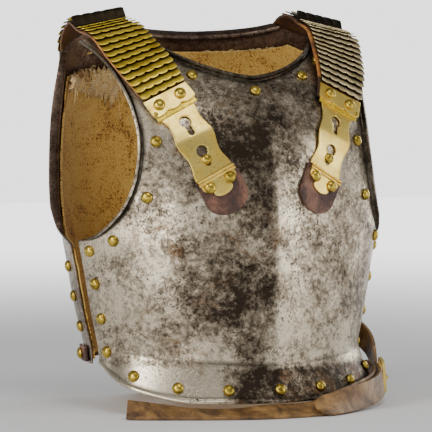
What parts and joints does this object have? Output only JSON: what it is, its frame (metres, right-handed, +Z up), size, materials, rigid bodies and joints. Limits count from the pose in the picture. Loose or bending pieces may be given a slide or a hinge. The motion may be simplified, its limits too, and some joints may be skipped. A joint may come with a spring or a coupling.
{
  "type": "cuirass",
  "caption": "Steel cuirass: ridged breastplate and backplate with turned lips, canvas linings, brass-scaled shoulder straps and a leather waist belt.",
  "frame": {"origin": "middle of the foot: the centre of the bounding box, on the surface that the cuirass stands on", "axes": "+Z up from the foot to the shoulders, -Y towards the front of the breastplate, +X towards the wearer's left"},
  "size_m": [0.37, 0.3108, 0.4367],
  "materials": {
    "steel": "old polished steel with dark patches",
    "brass": "worn brass",
    "rivet_brass": "dull brass",
    "canvas": "coarse stained linen",
    "strap_leather": "worn brown leather",
    "belt_leather": "cracked brown leather",
    "dark_leather": "dark red-brown leather"
  },
  "bodies": {
    "root": {"breastplate": "steel", "backplate": "steel", "breast_lining": "canvas", "back_lining": "canvas", "neck_rivet_middle": "rivet_brass", "rim_rivet_middle": "rivet_brass", "left_neck_rivet_1": "rivet_brass", "left_neck_rivet_2": "rivet_brass", "left_armhole_rivet_1": "rivet_brass", "left_armhole_rivet_2": "rivet_brass", "left_armhole_rivet_3": "rivet_brass", "left_side_rivet_1": "rivet_brass", "left_side_rivet_2": "rivet_brass", "left_side_rivet_3": "rivet_brass", "left_side_rivet_4": "rivet_brass", "left_rim_rivet_1": "rivet_brass", "left_rim_rivet_2": "rivet_brass", "left_rim_rivet_3": "rivet_brass", "left_back_rivet_1": "rivet_brass", "left_back_rivet_2": "rivet_brass", "right_neck_rivet_1": "rivet_brass", "right_neck_rivet_2": "rivet_brass", "right_armhole_rivet_1": "rivet_brass", "right_armhole_rivet_2": "rivet_brass", "right_armhole_rivet_3": "rivet_brass", "right_side_rivet_1": "rivet_brass", "right_side_rivet_2": "rivet_brass", "right_side_rivet_3": "rivet_brass", "right_side_rivet_4": "rivet_brass", "right_rim_rivet_1": "rivet_brass", "right_rim_rivet_2": "rivet_brass", "right_rim_rivet_3": "rivet_brass", "right_back_rivet_1": "rivet_brass", "right_back_rivet_2": "rivet_brass", "right_back_rivet_3": "rivet_brass", "left_strap_leather": "strap_leather", "left_scale_band": "brass", "left_collar_plate": "brass", "left_keyhole_plate": "brass", "left_terminal_plate": "brass", "left_rear_plate": "brass", "left_strap_tip": "dark_leather", "left_strap_stud": "brass", "right_strap_leather": "strap_leather", "right_scale_band": "brass", "right_collar_plate": "brass", "right_keyhole_plate": "brass", "right_terminal_plate": "brass", "right_rear_plate": "brass", "right_strap_tip": "dark_leather", "right_strap_stud": "brass", "belt_long": "belt_leather", "belt_end": "belt_leather", "buckle_frame": "brass", "buckle_tongue": "brass", "belt_side_strap": "belt_leather", "belt_rivet": "rivet_brass", "belt_stub": "dark_leather", "belt_stub_rivet": "rivet_brass"}
  },
  "joints": []
}
